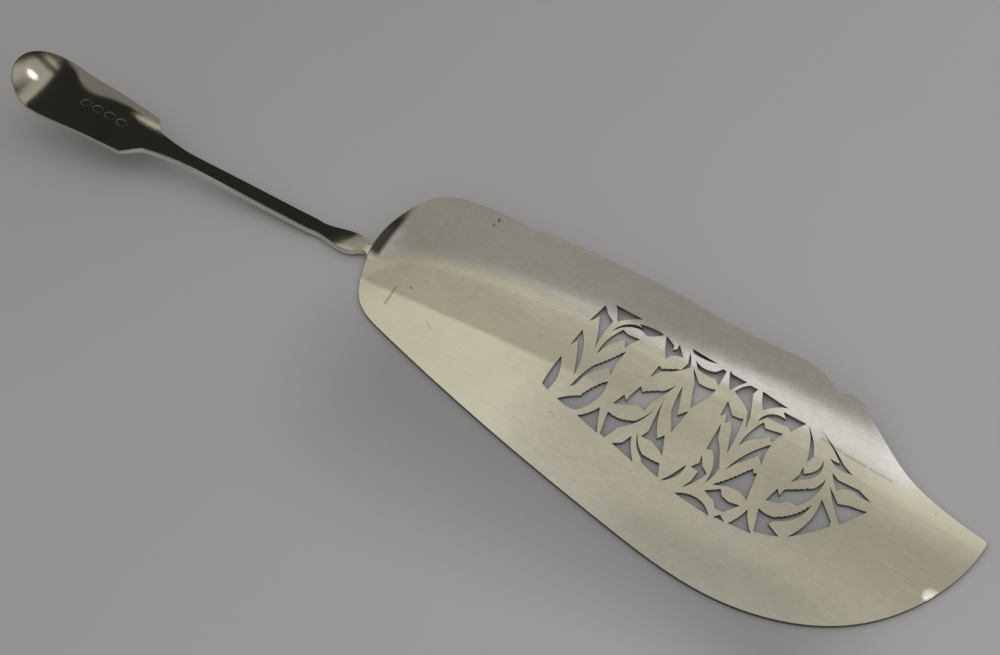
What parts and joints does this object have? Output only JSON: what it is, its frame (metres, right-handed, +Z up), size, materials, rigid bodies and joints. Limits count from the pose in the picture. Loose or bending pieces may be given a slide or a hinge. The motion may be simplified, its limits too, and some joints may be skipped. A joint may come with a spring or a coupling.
{
  "type": "fish server",
  "caption": "Serving slice for fish with a broad dished blade pierced with foliage, one raised notched edge, and a fiddle-pattern handle that turns up at the end.",
  "frame": {"origin": "centre of the whole object's plan box, on the flat underside that it rests on", "axes": "+X from the handle's end to the blade's tip, +Y towards the blade's raised edge, +Z up"},
  "size_m": [0.3, 0.0776, 0.0204],
  "materials": {
    "silver": "polished sterling silver with fine wear"
  },
  "bodies": {
    "root": {"blade": "silver", "handle": "silver"}
  },
  "joints": []
}
